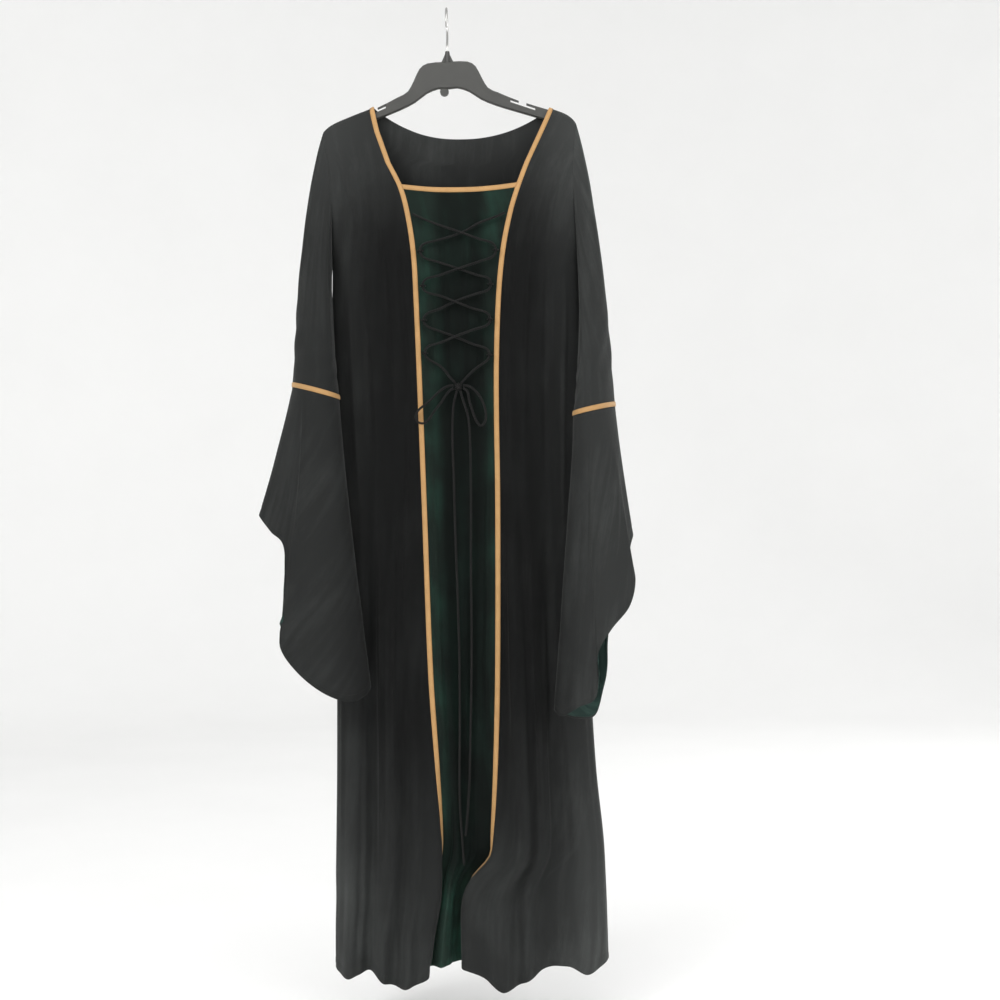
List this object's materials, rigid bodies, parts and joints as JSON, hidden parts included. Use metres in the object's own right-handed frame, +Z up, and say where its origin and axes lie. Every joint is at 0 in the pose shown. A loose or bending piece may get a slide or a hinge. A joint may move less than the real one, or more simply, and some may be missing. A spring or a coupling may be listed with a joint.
{
  "type": "medieval dress on a hanger",
  "caption": "Floor-length medieval dress of black velvet with a laced green front, gold trim and trumpet sleeves, hanging on a moulded hanger with a wire hook.",
  "frame": {"origin": "the top of the hook's inside, where a rod bears", "axes": "+Z up, -Y towards the viewer of the dress's front, +X to the viewer's right; a rod under the hook runs along X"},
  "size_m": [0.6229, 0.1899, 1.6437],
  "materials": {
    "black_velvet": "napped velvet",
    "green_velvet": "napped velvet",
    "gold_trim": "woven, satin",
    "black_lace": "twisted cord",
    "hanger_plastic": "satin",
    "hook_wire": "bright wire"
  },
  "bodies": {
    "root": {"front_side_left": "black_velvet", "front_side_right": "black_velvet", "front_centre": "green_velvet", "back": "black_velvet", "trim_front_left": "gold_trim", "trim_front_right": "gold_trim", "trim_neck": "gold_trim", "sleeve_upper_left": "black_velvet", "sleeve_band_left": "gold_trim", "sleeve_bell_left": "black_velvet", "bell_lining_left": "green_velvet", "sleeve_upper_right": "black_velvet", "sleeve_band_right": "gold_trim", "sleeve_bell_right": "black_velvet", "bell_lining_right": "green_velvet", "lace_from_left": "black_lace", "lace_from_right": "black_lace", "bow_loop_left": "black_lace", "bow_loop_right": "black_lace", "lace_tail_left": "black_lace", "lace_tail_right": "black_lace", "lace_knot": "black_lace", "loop_right_1": "black_lace", "loop_right_2": "black_lace", "loop_right_3": "black_lace", "loop_right_4": "black_lace", "loop_left_1": "black_lace", "loop_left_2": "black_lace", "loop_left_3": "black_lace", "loop_left_4": "black_lace", "hanger_body": "hanger_plastic", "hanger_hook": "hook_wire"}
  },
  "joints": []
}
